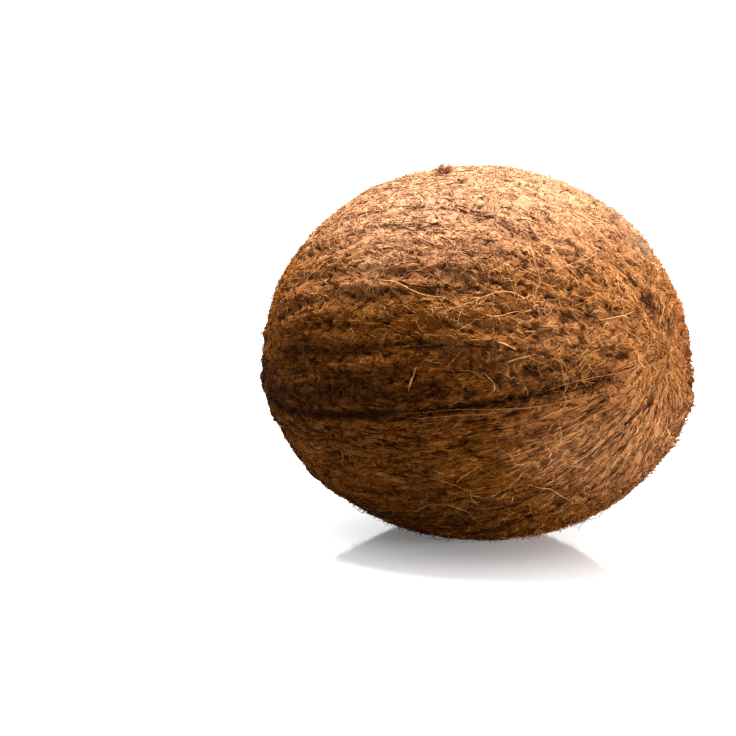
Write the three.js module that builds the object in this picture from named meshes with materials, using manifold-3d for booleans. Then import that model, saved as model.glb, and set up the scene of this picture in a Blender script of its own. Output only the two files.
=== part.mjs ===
// A whole brown coconut, dehusked, lying on its side. Millimetres, +Z up, resting on z = 0.
// Its long axis runs along X: the pointed end is at +X and the three eyes are at -X.
// Every point of the nut is its centre plus a direction times radiusAlong(direction).

import * as THREE from "three";
import { mergeVertices } from "three/addons/utils/BufferGeometryUtils.js";
import Module from "manifold-3d";

const DEGREE = Math.PI / 180;
const TURN = 2 * Math.PI;
const GOLDEN_ANGLE = Math.PI * (3 - Math.sqrt(5));

// Driving dimensions of the bare form
const halfLength = 66;
const halfWidth = 54.2;
const taper = 0.03; // how much the pointed half is slimmer than the blunt half
const centre = new THREE.Vector3(0.6, 0.95, 52.75); // puts the finished nut's box over the origin
const grainRise = 6.3 * DEGREE; // the fibres meet a little above the pointed end

// Three ridges, each with a seam along its crest
const ridges = { count: 3, first: -10.7 * DEGREE, height: 1.7, halfWidth: 8, lobe: 0.7 };
const seam = { depth: 2.4, halfWidth: 1.5 };

// Furrows in the fibre coat: angle round the nut, where they start and end along it, depth
const furrows = [
  { psi: 31, from: 58, to: 118, depth: 1.3 },
  { psi: 8, from: 62, to: 120, depth: 1.5 },
  { psi: -53, from: 22, to: 84, depth: 1.3 },
  { psi: 58, from: 34, to: 72, depth: 1.0 },
  { psi: 84, from: 70, to: 126, depth: 1.1 },
  { psi: 146, from: 48, to: 110, depth: 1.4 },
  { psi: 171, from: 60, to: 128, depth: 1.2 },
  { psi: 204, from: 35, to: 90, depth: 1.3 },
  { psi: 259, from: 40, to: 95, depth: 0.8 },
];
const furrowHalfWidth = 2.2;
const furrowFade = 9 * DEGREE;

// Fibre bundles run along the nut as low waves, over broader lumps
const bundles = [
  { around: 13, along: 5, height: 0.38 },
  { around: 19, along: 7, height: 0.4 },
  { around: 28, along: 6, height: 0.44 },
  { around: 37, along: 9, height: 0.42 },
  { around: 46, along: 8, height: 0.36 },
];
const bundleSway = 0.9;
const lumps = { count: 4, height: 0.16, wavelength: 30 };

// Pointed end and eye end
const point = { height: 2.2, radius: 3.6 };
const eyes = { polar: 12.5 * DEGREE, radius: 5.2, depth: 2.6, lip: 0.5 };
const collar = { radius: 25, width: 5, height: 1.1 };

// Mesh rows run from the pointed end to the eye end, closer together at both ends
const rowStretches = [
  { to: 14, rows: 4 },
  { to: 151, rows: 25 },
  { to: 180, rows: 13 },
];
const columnsPerFace = 34;
const seamCrowding = 0.5; // how far the columns crowd towards the seams

// Coarse strands that stand off the coat
const strands = {
  loose: 44, // spread evenly over the nut
  round: 11, // round the eye end
  radius: 0.55,
  segments: 5,
  sunk: 1.3,
  clearOfFloor: 9,
};

const wasm = await Module();
wasm.setup();

// Small helpers
const square = (x) => x * x;
const bell = (distance, width) => Math.exp(-square(distance / width));
const smooth = (start, end, x) => THREE.MathUtils.smoothstep((x - start) / (end - start), 0, 1);
const wrap = (angle) => angle - TURN * Math.round(angle / TURN);
const scatter = (i, salt) => THREE.MathUtils.euclideanModulo(Math.sin(i * 12.9898 + salt * 78.233) * 4375.8545, 1);

// The grain frame: alpha is measured from the pointed end, psi round the nut from -Y towards +Z
const grain = new THREE.Vector3(Math.cos(grainRise), 0, Math.sin(grainRise));
const front = new THREE.Vector3(0, -1, 0);
const top = new THREE.Vector3(-Math.sin(grainRise), 0, Math.cos(grainRise));

function directionAt(alpha, psi) {
  return new THREE.Vector3()
    .addScaledVector(grain, Math.cos(alpha))
    .addScaledVector(front, Math.sin(alpha) * Math.cos(psi))
    .addScaledVector(top, Math.sin(alpha) * Math.sin(psi));
}

// The bare egg-like form, without any relief
function formRadius(n) {
  const egg = 1 - taper * n.x * (1 - n.x * n.x);
  return egg / Math.sqrt(square(n.x / halfLength) + (square(n.y) + square(n.z)) / square(halfWidth));
}

function ridgeRelief(alpha, psi, r) {
  const fade = smooth(4 * DEGREE, 16 * DEGREE, alpha) * smooth(176 * DEGREE, 158 * DEGREE, alpha);
  const seamFade = smooth(6 * DEGREE, 22 * DEGREE, alpha) * smooth(164 * DEGREE, 150 * DEGREE, alpha);
  let height = ridges.lobe * Math.cos(ridges.count * (psi - ridges.first)) * square(Math.sin(alpha));
  for (let k = 0; k < ridges.count; k++) {
    const across = wrap(psi - ridges.first - (k * TURN) / ridges.count) * Math.sin(alpha) * r;
    height += fade * ridges.height * bell(across, ridges.halfWidth);
    height -= seamFade * seam.depth * bell(across, seam.halfWidth);
  }
  return height;
}

function furrowRelief(alpha, psi, r) {
  let height = 0;
  for (const { psi: at, from, to, depth } of furrows) {
    const across = wrap(psi - at * DEGREE) * Math.sin(alpha) * r;
    const start = from * DEGREE;
    const end = to * DEGREE;
    const along = smooth(start - furrowFade, start, alpha) * smooth(end + furrowFade, end, alpha);
    height -= along * depth * bell(across, furrowHalfWidth);
  }
  return height;
}

function bundleRelief(alpha, psi) {
  let height = 0;
  bundles.forEach(({ around, along, height: size }, i) => {
    const phase = GOLDEN_ANGLE * square(i + 1);
    const sway = bundleSway * Math.sin(along * alpha + 1.7 * phase);
    const swell = 0.6 + 0.4 * Math.cos(0.7 * along * alpha + phase);
    height += size * swell * Math.cos(around * psi + phase + sway);
  });
  return height * smooth(0.12, 0.6, Math.sin(alpha));
}

function lumpRelief(n, r) {
  let height = 0;
  for (let i = 0; i < lumps.count; i++) {
    const turn = GOLDEN_ANGLE * (i + 1);
    const level = 1 - (2 * i + 1) / lumps.count;
    const flat = Math.sqrt(1 - square(level));
    const along = n.x * level + n.y * flat * Math.cos(turn) + n.z * flat * Math.sin(turn);
    height += lumps.height * Math.sin((TURN * r * along) / lumps.wavelength + 3 * turn);
  }
  return height;
}

function endRelief(n, alpha, r) {
  let height = point.height * bell(alpha * r, point.radius);
  const fromEyeEnd = (Math.PI - alpha) * r;
  height += collar.height * bell(fromEyeEnd - collar.radius, collar.width);
  for (let k = 0; k < ridges.count; k++) {
    const psi = ridges.first + ((k + 0.5) * TURN) / ridges.count;
    const away = n.angleTo(directionAt(Math.PI - eyes.polar, psi)) * r;
    height -= eyes.depth * smooth(eyes.radius, eyes.radius * 0.45, away);
    height += eyes.lip * bell(away - eyes.radius * 1.3, 1.8);
  }
  return height;
}

// Distance from the centre to the coat along the direction at (alpha, psi)
function radiusAlong(alpha, psi) {
  const n = directionAt(alpha, psi);
  const r = formRadius(n);
  const calm = smooth(0, 14, centre.z + n.z * r); // the coat is pressed flat near the floor
  const coat = bundleRelief(alpha, psi) + lumpRelief(n, r) + furrowRelief(alpha, psi, r);
  return r + calm * coat + ridgeRelief(alpha, psi, r) + endRelief(n, alpha, r);
}

// A point of the coat, or one that is lift above it, cut off flat at the floor
function coatPoint(alpha, psi, lift = 0) {
  const p = directionAt(alpha, psi).multiplyScalar(radiusAlong(alpha, psi) + lift).add(centre);
  p.z = Math.max(p.z, 0);
  return p;
}

function rowAngles() {
  const angles = [];
  let start = 0;
  for (const { to, rows } of rowStretches) {
    for (let i = 1; i <= rows; i++) angles.push((start + ((to - start) * i) / rows) * DEGREE);
    start = to;
  }
  return angles.slice(0, -1); // the last one is the pole itself
}

function columnAngles() {
  const count = ridges.count * columnsPerFace;
  return Array.from({ length: count }, (_, i) => {
    const even = (i * TURN) / count;
    return ridges.first + even - (seamCrowding / ridges.count) * Math.sin(ridges.count * even);
  });
}

// The nut's skin: rings of points between two poles
function nutGeometry() {
  const rows = rowAngles();
  const columns = columnAngles();
  const points = [coatPoint(0, 0)];
  for (const alpha of rows) for (const psi of columns) points.push(coatPoint(alpha, psi));
  points.push(coatPoint(Math.PI, 0));

  const around = columns.length;
  const last = points.length - 1;
  const at = (row, column) => 1 + row * around + (column % around);
  const faces = [];
  for (let c = 0; c < around; c++) {
    faces.push(0, at(0, c + 1), at(0, c));
    for (let r = 0; r + 1 < rows.length; r++) {
      faces.push(at(r, c), at(r + 1, c + 1), at(r + 1, c));
      faces.push(at(r, c), at(r, c + 1), at(r + 1, c + 1));
    }
    faces.push(last, at(rows.length - 1, c), at(rows.length - 1, c + 1));
  }
  const geometry = new THREE.BufferGeometry().setFromPoints(points);
  geometry.setIndex(faces);
  return geometry;
}

// One strand: a three-sided tube whose root, and for a loop its tip too, is sunk in the coat
function strandGeometry({ alpha, psi, length, heading, bend, rise, loop }) {
  const steps = strands.segments;
  const points = [];
  for (let i = 0; i <= steps; i++) {
    const s = i / steps;
    const turn = heading + bend * (s - 0.5);
    const along = (s - 0.5) * length * Math.cos(turn);
    const across = (s - 0.5) * length * Math.sin(turn);
    const lift = loop ? rise * Math.sin(Math.PI * s) : rise * Math.pow(s, 1.4);
    const sink = loop ? square(2 * s - 1) : square(1 - s);
    const a = alpha + along / halfWidth;
    const p = psi + across / (halfWidth * Math.sin(alpha));
    points.push(coatPoint(a, p, strands.radius + lift - strands.sunk * sink));
  }
  const section = new THREE.Shape();
  for (let k = 0; k < 3; k++) {
    const x = strands.radius * Math.cos((k * TURN) / 3);
    const y = strands.radius * Math.sin((k * TURN) / 3);
    if (k === 0) section.moveTo(x, y);
    else section.lineTo(x, y);
  }
  section.closePath();
  const path = new THREE.CatmullRomCurve3(points);
  return new THREE.ExtrudeGeometry(section, { steps, bevelEnabled: false, extrudePath: path });
}

// Strands spread over the nut by the golden angle, then a ring of them round the eye end
function strandPlan() {
  const plan = [];
  for (let i = 0; i < strands.loose; i++) {
    const level = 1 - (2 * i + 1) / strands.loose;
    plan.push({
      alpha: Math.acos(0.93 * level),
      psi: i * GOLDEN_ANGLE,
      length: 16 + 16 * scatter(i, 1),
      heading: 0.9 * (scatter(i, 2) - 0.5),
      bend: 1.2 * (scatter(i, 3) - 0.5),
      rise: 0.4 + 0.8 * scatter(i, 4),
      loop: scatter(i, 5) < 0.6,
    });
  }
  for (let i = 0; i < strands.round; i++) {
    plan.push({
      alpha: Math.PI - (collar.radius + 4 * scatter(i, 6)) / halfLength,
      psi: ((i + 0.5 * scatter(i, 7)) * TURN) / strands.round,
      length: 13 + 6 * scatter(i, 8),
      heading: 0.7 * (scatter(i, 9) - 0.5),
      bend: 0.8 * (scatter(i, 10) - 0.5),
      rise: 0.9 + 1.0 * scatter(i, 11),
      loop: false,
    });
  }
  return plan.filter(({ alpha, psi }) => coatPoint(alpha, psi).z > strands.clearOfFloor);
}

function solidFrom(geometry) {
  const bare = geometry.clone();
  bare.deleteAttribute("normal");
  bare.deleteAttribute("uv");
  const merged = mergeVertices(bare, 1e-4);
  return new wasm.Manifold(
    new wasm.Mesh({
      numProp: 3,
      vertProperties: merged.attributes.position.array,
      triVerts: new Uint32Array(merged.index.array),
    }),
  );
}

function geometryFrom(solid) {
  const { numProp, vertProperties, triVerts } = solid.getMesh();
  const positions = new Float32Array((vertProperties.length / numProp) * 3);
  for (let i = 0; i * numProp < vertProperties.length; i++) {
    positions.set(vertProperties.subarray(i * numProp, i * numProp + 3), i * 3);
  }
  const geometry = new THREE.BufferGeometry();
  geometry.setAttribute("position", new THREE.BufferAttribute(positions, 3));
  geometry.setIndex(new THREE.BufferAttribute(triVerts, 1));
  geometry.computeVertexNormals();
  return geometry;
}

let coconutSolid = solidFrom(nutGeometry());
for (const strand of strandPlan()) coconutSolid = coconutSolid.add(solidFrom(strandGeometry(strand)));

const husk = new THREE.MeshStandardMaterial({ color: 0xa9713f, roughness: 0.92, metalness: 0 });
const coconut = new THREE.Mesh(geometryFrom(coconutSolid), husk);
coconut.name = "coconut";

const group = new THREE.Group();
group.add(coconut);
export default group;
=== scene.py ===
import math

import bmesh
import bpy
import numpy as np
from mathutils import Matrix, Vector


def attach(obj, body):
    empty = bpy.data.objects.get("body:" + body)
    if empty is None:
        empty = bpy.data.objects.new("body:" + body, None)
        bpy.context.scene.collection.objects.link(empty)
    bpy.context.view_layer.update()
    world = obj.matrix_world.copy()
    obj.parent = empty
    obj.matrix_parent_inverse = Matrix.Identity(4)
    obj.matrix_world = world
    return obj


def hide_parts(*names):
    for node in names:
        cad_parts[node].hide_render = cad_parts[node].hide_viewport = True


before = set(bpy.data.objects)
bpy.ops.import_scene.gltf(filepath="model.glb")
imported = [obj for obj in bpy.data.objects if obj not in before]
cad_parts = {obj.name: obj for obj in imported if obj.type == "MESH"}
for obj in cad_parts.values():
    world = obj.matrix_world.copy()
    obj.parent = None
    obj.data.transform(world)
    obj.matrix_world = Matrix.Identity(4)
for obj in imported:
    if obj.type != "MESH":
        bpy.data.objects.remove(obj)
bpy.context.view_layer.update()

degree = math.pi / 180
turn = 2 * math.pi
metre = 0.001  # one millimetre in Blender's metres

# The nut's form, in millimetres and degrees: the same values as the solid that this coat replaces
nut = {
    "halfLength": 66.0,
    "halfWidth": 54.2,
    "taper": 0.03,
    "centre": (0.6, 0.95, 52.75),
    "grainRise": 6.3,
    "ridgeCount": 3,
    "firstRidge": -10.7,
    "ridgeHeight": 1.7,
    "ridgeHalfWidth": 8.0,
    "lobe": 0.7,
    "ridgeEnds": (4, 16, 158, 176),  # where it starts, is full, fades again and ends along the nut
    "seamDepth": 2.4,
    "seamHalfWidth": 1.5,
    "seamEnds": (6, 22, 150, 164),
    "furrowHalfWidth": 2.2,
    "furrowFade": 9.0,
    "furrows": [  # angle round the nut, where it starts and ends along it, depth
        (31, 58, 118, 1.3),
        (8, 62, 120, 1.5),
        (-53, 22, 84, 1.3),
        (58, 34, 72, 1.0),
        (84, 70, 126, 1.1),
        (146, 48, 110, 1.4),
        (171, 60, 128, 1.2),
        (204, 35, 90, 1.3),
        (259, 40, 95, 0.8),
    ],
    "bundles": [  # waves around, waves along, height
        (13, 5, 0.38),
        (19, 7, 0.4),
        (28, 6, 0.44),
        (37, 9, 0.42),
        (46, 8, 0.36),
    ],
    "bundleSway": 0.9,
    "bundleSwell": 0.4,  # the share of their height that comes and goes along them
    "bundleFade": (0.12, 0.6),  # sine of the angle from either end
    "lumpCount": 4,
    "lumpHeight": 0.16,
    "lumpWavelength": 30.0,
    "pointHeight": 2.2,
    "pointRadius": 3.6,
    "eyePolar": 12.5,
    "eyeRadius": 5.2,
    "eyeDepth": 2.6,
    "eyeFloor": 0.45,  # the flat bottom, as a share of the eye's radius
    "eyeLip": 0.5,
    "eyeLipRadius": 1.3,
    "eyeLipWidth": 1.8,
    "collarRadius": 25.0,
    "collarWidth": 5.0,
    "collarHeight": 1.1,
}
centre = np.array(nut["centre"])
goldenAngle = math.pi * (3 - math.sqrt(5))


# Small helpers

def bell(distance, width):
    return np.exp(-((distance / width) ** 2))


def smooth(start, end, x):
    t = np.clip((x - start) / (end - start), 0, 1)
    return t * t * (3 - 2 * t)


def wrap(angle):
    return angle - turn * np.round(angle / turn)


def dot(a, b):
    return np.sum(a * b, axis=-1)


def unit(v):
    return v / np.maximum(np.linalg.norm(v, axis=-1, keepdims=True), 1e-9)


# The grain frame: alpha runs from the pointed end, psi goes round the nut from the front to the top

grainRise = nut["grainRise"] * degree
grainAxis = np.array((math.cos(grainRise), 0, math.sin(grainRise)))
frontAxis = np.array((0.0, -1.0, 0.0))
topAxis = np.array((-math.sin(grainRise), 0, math.cos(grainRise)))


def directionAt(alpha, psi):
    side = np.cos(psi)[..., None] * frontAxis + np.sin(psi)[..., None] * topAxis
    return np.cos(alpha)[..., None] * grainAxis + np.sin(alpha)[..., None] * side


def anglesOf(n):
    alpha = np.arccos(np.clip(dot(n, grainAxis), -1, 1))
    return alpha, np.arctan2(dot(n, topAxis), dot(n, frontAxis))


def ridgeAngle(k):
    return nut["firstRidge"] * degree + k * turn / nut["ridgeCount"]


# 1 along the nut and 0 at its ends; the four angles run from the pointed end
def endFade(alpha, ends):
    start, full, last, end = (angle * degree for angle in ends)
    return smooth(start, full, alpha) * smooth(end, last, alpha)


def formRadius(n):
    egg = 1 - nut["taper"] * n[..., 0] * (1 - n[..., 0] ** 2)
    long = (n[..., 0] / nut["halfLength"]) ** 2
    wide = (n[..., 1] ** 2 + n[..., 2] ** 2) / nut["halfWidth"] ** 2
    return egg / np.sqrt(long + wide)


# Camera: the photo's viewing angle, with the nut at its place in the frame
view = {
    "azimuth": 38.0,
    "elevation": 8.0,
    "distance": 600.0,
    "lens": 100.0,
    "left": 31.0,  # the camera aims this far to the left of the nut's centre, and below it
    "down": 3.9,
}
azimuth = view["azimuth"] * degree
elevation = view["elevation"] * degree
flatPart = math.cos(elevation)
back = Vector((math.sin(azimuth) * flatPart, -math.cos(azimuth) * flatPart, math.sin(elevation)))
right = Vector((math.cos(azimuth), math.sin(azimuth), 0))
up = back.cross(right)
cameraPlace = Vector(nut["centre"]) + back * view["distance"]
cameraAim = Vector(nut["centre"]) - right * view["left"] - up * view["down"]

# The photograph's frame
photo = {
    "width": 736,  # pixels, and as high
    "sensor": 36.0,
    "coatReach": 1.02,  # the coat's swelling past the plain egg form, squared
}


# The direction from the nut's centre to the coat under a point of the photograph
def underPixel(x, y):
    scale = photo["sensor"] / (photo["width"] * view["lens"])
    forward = (cameraAim - cameraPlace).normalized()
    side = forward.cross(Vector((0, 0, 1))).normalized()
    rise = side.cross(forward)
    middle = photo["width"] / 2
    ray = (forward + side * (x - middle) * scale + rise * (middle - y) * scale).normalized()
    squash = Vector((1 / nut["halfLength"], 1 / nut["halfWidth"], 1 / nut["halfWidth"]))
    eye = (cameraPlace - Vector(nut["centre"])) * squash
    way = ray * squash
    half = eye.dot(way) / way.dot(way)
    gap = max(half ** 2 - (eye.dot(eye) - photo["coatReach"]) / way.dot(way), 0)
    hit = cameraPlace + ray * (-half - math.sqrt(gap)) - Vector(nut["centre"])
    return np.array(hit.normalized())


def acrossRidge(alpha, psi, r, k):
    return wrap(psi - ridgeAngle(k)) * np.sin(alpha) * r


def seamRelief(alpha, psi, r):
    ridges = range(nut["ridgeCount"])
    depth = sum(bell(acrossRidge(alpha, psi, r, k), nut["seamHalfWidth"]) for k in ridges)
    return endFade(alpha, nut["seamEnds"]) * nut["seamDepth"] * depth


def ridgeRelief(alpha, psi, r):
    ridges = range(nut["ridgeCount"])
    height = sum(bell(acrossRidge(alpha, psi, r, k), nut["ridgeHalfWidth"]) for k in ridges)
    lobe = np.cos(nut["ridgeCount"] * (psi - ridgeAngle(0))) * np.sin(alpha) ** 2
    return nut["lobe"] * lobe + endFade(alpha, nut["ridgeEnds"]) * nut["ridgeHeight"] * height


def furrowRelief(alpha, psi, r, furrows=nut["furrows"]):
    depth = 0
    fade = nut["furrowFade"] * degree
    for at, start, end, deep in furrows:
        across = wrap(psi - at * degree) * np.sin(alpha) * r
        low, high = start * degree, end * degree
        along = smooth(low - fade, low, alpha) * smooth(high + fade, high, alpha)
        depth = depth + along * deep * bell(across, nut["furrowHalfWidth"])
    return depth


def bundleRelief(alpha, psi):
    height = 0
    for i, (around, along, size) in enumerate(nut["bundles"]):
        phase = goldenAngle * (i + 1) ** 2
        sway = nut["bundleSway"] * np.sin(along * alpha + 1.7 * phase)
        swell = 1 - nut["bundleSwell"] + nut["bundleSwell"] * np.cos(0.7 * along * alpha + phase)
        height = height + size * swell * np.cos(around * psi + phase + sway)
    return height * smooth(*nut["bundleFade"], np.sin(alpha))


def lumpRelief(n, r):
    height = 0
    for i in range(nut["lumpCount"]):
        angle = goldenAngle * (i + 1)
        level = 1 - (2 * i + 1) / nut["lumpCount"]
        flat = math.sqrt(1 - level ** 2)
        along = dot(n, np.array((level, flat * math.cos(angle), flat * math.sin(angle))))
        height = height + nut["lumpHeight"] * np.sin(turn * r * along / nut["lumpWavelength"] + 3 * angle)
    return height


# The three eyes lie between the ridges, round the blunt end
def eyeDistances(n, r):
    for k in range(nut["ridgeCount"]):
        psi = ridgeAngle(k + 0.5)
        eye = directionAt(np.array(math.pi - nut["eyePolar"] * degree), np.array(psi))
        yield np.arccos(np.clip(dot(n, eye), -1, 1)) * r


def endRelief(n, alpha, r):
    height = nut["pointHeight"] * bell(alpha * r, nut["pointRadius"])
    fromEyeEnd = (math.pi - alpha) * r
    height = height + nut["collarHeight"] * bell(fromEyeEnd - nut["collarRadius"], nut["collarWidth"])
    for away in eyeDistances(n, r):
        height = height - nut["eyeDepth"] * smooth(nut["eyeRadius"], nut["eyeRadius"] * nut["eyeFloor"], away)
        fromLip = away - nut["eyeRadius"] * nut["eyeLipRadius"]
        height = height + nut["eyeLip"] * bell(fromLip, nut["eyeLipWidth"])
    return height


# Ragged holes and dark spots in the coat: their place in the photograph, radius, depth and darkness, which is
# painted shade in and around them
raggedHoles = [
    (646, 300, 2.2, 1.0, 0.9),
    (655, 313, 1.8, 0.9, 0.9),
    (671, 320, 1.4, 0.7, 0.9),
    (532, 372, 2.4, 0.6, 0.7),
    (545, 383, 2.0, 0.2, 0.5),
    (413, 205, 1.2, 0.5, 0.9),
    (412, 219, 1.1, 0.5, 0.9),
    (580, 251, 1.3, 0.6, 0.8),
    (618, 356, 1.6, 0.4, 0.6),
    (560, 393, 1.7, 0.2, 0.5),
    (577, 389, 1.8, 0.2, 0.5),
    (594, 384, 1.8, 0.2, 0.5),
    (610, 380, 1.7, 0.2, 0.4),
    (622, 354, 1.6, 0.3, 0.5),
]
holeDirections = [underPixel(x, y) for x, y, *_ in raggedHoles]


# Depth and painted shade of the holes at n
def holeMarks(n, r):
    depth, dark = 0, 0
    for (_, _, radius, deep, shade), hole in zip(raggedHoles, holeDirections):
        near = bell(np.arccos(np.clip(dot(n, hole), -1, 1)) * r, radius)
        depth, dark = depth + deep * near, dark + shade * near
    return depth, dark


# Noise: a smooth random lattice, read in grain space so that its marks run along the nut

latticeSize = 48
grainLength = 62  # millimetres of grain space to a radian along the nut
endGirth = 0.04  # keeps grain space open at the two ends
seeds = {
    "relief": 20,
    "pits": 25,
    "widePits": 26,
    "breaks": 31,
    "slits": 33,
    "bare": 35,
    "bleachAndLight": 41,
    "layers": 100,
}


def latticeNoise(p, seed):
    table = np.random.default_rng(seed).random((latticeSize,) * 3)
    low = np.floor(p).astype(int)
    t = p - low
    t = t * t * (3 - 2 * t)
    value = 0
    for corner in np.ndindex(2, 2, 2):
        cell = (low + corner) % latticeSize
        weight = np.prod(np.where(corner, t, 1 - t), axis=-1)
        value = value + weight * table[cell[..., 0], cell[..., 1], cell[..., 2]]
    return 2 * value - 1


def grainSpace(alpha, psi):
    girth = nut["halfWidth"] * np.sqrt(np.sin(alpha) ** 2 + endGirth)
    return np.stack((girth * np.cos(psi), girth * np.sin(psi), grainLength * alpha), axis=-1)


def streaks(place, seed, width, length):
    return latticeNoise(place / np.array((width, width, length)), seed)


# Fine relief of the fibre coat, in millimetres
fineCoat = {
    "cords": (3.1, 14.0, 0.30),  # width, length, height
    "wisps": (1.4, 4.0, 0.24),
    "mat": (1.1, 2.0, 0.16),
    "tufts": (7.0, 12.0, 0.38),
    "pits": (1.05, 1.9, 0.6),
    "pitEdge": (0.26, 0.60),  # only the deepest part of the noise makes a pit
    "widePits": (1.4, 0.06),  # on the lumpier coat near the point: how much wider, how many more
    "widePitsAlong": (62, 30),  # where they start and are full, in grain space
    "widePitsUp": (-4, 8),
    "filling": 0.45,  # how much of the bundles' relief the matted fibres fill
    "seamFilling": 0.3,
    "furrowFilling": 0.45,
    "shaggyFade": 14.0,  # height above the floor by which the coat is at its roughest
    "eyeFilling": 0.8,  # the eyes are smoother
}


def fineRelief(alpha, psi):
    place = grainSpace(alpha, psi)
    height = 0
    for i, name in enumerate(("cords", "wisps", "mat", "tufts")):
        width, length, size = fineCoat[name]
        height = height + size * streaks(place, seeds["relief"] + i, width, length)
    return height - fineCoat["pits"][2] * pitMask(place)


def pitMask(place):
    width, length, _ = fineCoat["pits"]
    small = streaks(place, seeds["pits"], width, length)
    wider, more = fineCoat["widePits"]
    wide = streaks(place, seeds["widePits"], wider * width, wider * length) + more
    share = smooth(*fineCoat["widePitsAlong"], place[..., 2]) * smooth(*fineCoat["widePitsUp"], place[..., 1])
    return smooth(*fineCoat["pitEdge"], np.maximum(small, np.where(share > 0, wide * share, -1)))


# Broad changes over the coat: pairs are where a change starts and is full, as degrees from the point
# or as heights, which are -1 at the bottom of the nut and 1 at its top
tone = {
    "combedAlong": (92, 62),
    "combedDown": (0.2, -0.15),
    "tangledAlong": (85, 55),
    "tangledUp": (-0.15, 0.2),
    # Painted light: paler on top and on the side towards the point
    "topLight": 0.75,
    "topLightUp": (0.25, 1.0),
    "pointSideLight": 0.13,
    "pointSideLightAlong": (56, 30),
    "pointSideLightDown": (0.05, -0.3),  # twice as much painted light there
    "bleachPatch": 0.12,
    "bleachPatchUp": (-0.25, 0.5),
    "patchSize": 15.0,
    "dark": 0.26,  # painted shade on the side away from the point and on the underside
    "darkAlong": (48, 90),
    "darkDown": (0.65, 0.05),
    "seamShades": [  # painted shade by the front seam: millimetres above it, width, strength, where it starts and is full
        (5.5, 6.5, 0.64, 34, 76),
        (4.5, 4.0, 0.12, 8, 24),
        (-6.0, 6.5, 0.24, 10, 30),
    ],
}

# Painted shade in the hollows: how dark they are
hollows = {
    "seam": 0.55,
    "seamMore": 0.32,  # added away from the point
    "seamAlong": (55, 80),
    "furrow": 0.3,  # for each millimetre of depth
    "faintFurrows": (0, 2),
    "faintLess": 0.25,
    "breaks": (2.0, 6.0),  # width and length of the streaks that break up seams and furrows
    "breakDepth": 0.35,
    "unbroken": 0.75,
    "darkest": 0.92,
    "pit": 0.55,
    "slit": 0.4,
    "slits": (0.9, 6.0),  # width and length of the dark gaps between combed fibres, painted shade
    "slitEdge": (0.30, 0.60),
    "litCords": 0.20,  # painted light: the backs of the fibres are paler
    "litWisps": 0.14,
}


# How neatly the fibres lie along the grain: 1 low down near the point, 0 elsewhere
def combing(n):
    alpha, _ = anglesOf(n)
    return smooth(*tone["combedDown"], n[..., 2]) * smooth(*tone["combedAlong"], alpha / degree)


# How tangled the fibres are: 1 on the upper side towards the point, 0 elsewhere
def tangling(n):
    alpha, _ = anglesOf(n)
    return smooth(*tone["tangledUp"], n[..., 2]) * smooth(*tone["tangledAlong"], alpha / degree)


# Painted shade: how sunken and dark a place is, 0 on the backs of the fibres, 1 in a pit, a furrow or a seam;
# the second value adds the painted shade of pits, slits, holes, seam lips, the far side and the underside,
# less the painted light on the fibres' backs
def hollowness(n):
    alpha, psi = anglesOf(n)
    r = formRadius(n)
    place = grainSpace(alpha, psi)
    broken = hollows["unbroken"] + hollows["breakDepth"] * streaks(place, seeds["breaks"], *hollows["breaks"])
    seamShade = hollows["seam"] + hollows["seamMore"] * smooth(*hollows["seamAlong"], alpha / degree)
    seam = (seamRelief(alpha, psi, r) / nut["seamDepth"]) ** 2 * seamShade
    faint = furrowRelief(alpha, psi, r, [nut["furrows"][k] for k in hollows["faintFurrows"]])
    groove = seam + hollows["furrow"] * furrowRelief(alpha, psi, r) - hollows["faintLess"] * faint
    # Painted light on the raised backs of the cords and wisps
    wornAndLit = hollows["litCords"] * streaks(place, seeds["relief"], *fineCoat["cords"][:2])
    wornAndLit = wornAndLit + hollows["litWisps"] * streaks(place, seeds["relief"] + 1, *fineCoat["wisps"][:2])
    slits = combing(n) * smooth(*hollows["slitEdge"], streaks(place, seeds["slits"], *hollows["slits"]))
    dark = hollows["pit"] * pitMask(place) + hollows["slit"] * slits + seamShadeBand(alpha, psi, r)
    dark = dark + holeMarks(n, r)[1]
    # Painted shade on the side away from the point and on the underside
    shaded = tone["dark"] * smooth(*tone["darkAlong"], alpha / degree) * smooth(*tone["darkDown"], n[..., 2])
    return np.clip(groove * broken, 0, hollows["darkest"]), dark + shaded - wornAndLit


# How pale a place is: painted light on top and towards the point, with paler bleached patches all over, and
# less of it in the painted shade along the seam
def bleachingAndLight(n):
    patch = latticeNoise(n * nut["halfWidth"] / tone["patchSize"], seeds["bleachAndLight"])
    patch = patch * smooth(*tone["bleachPatchUp"], n[..., 2])
    top = tone["topLight"] * smooth(*tone["topLightUp"], n[..., 2])
    alpha, psi = anglesOf(n)
    point = tone["pointSideLight"] * smooth(*tone["pointSideLightAlong"], alpha / degree)
    point = point * (1 + smooth(*tone["pointSideLightDown"], n[..., 2]))
    # Less paleness in the painted shade along the seam
    strongest = tone["seamShades"][0][2]
    seamShaded = np.minimum(seamShadeBand(alpha, psi, formRadius(n)) / strongest, 1)
    return np.clip((np.maximum(top, point) + tone["bleachPatch"] * patch) * (1 - seamShaded), 0, 1)


# Painted shade in bands that follow the two lips of the front seam, the darkest one away from the point
def seamShadeBand(alpha, psi, r):
    dark = 0
    for above, width, strength, start, full in tone["seamShades"]:
        aside = acrossRidge(alpha, psi, r, 0) - above
        dark = dark + strength * bell(aside, width) * smooth(start, full, alpha / degree)
    return dark


# 1 inside the three eyes
def eyeMask(n, r):
    outer, inner = nut["eyeRadius"] * 1.05, nut["eyeRadius"] * 0.75
    return sum(smooth(outer, inner, away) for away in eyeDistances(n, r))


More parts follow.
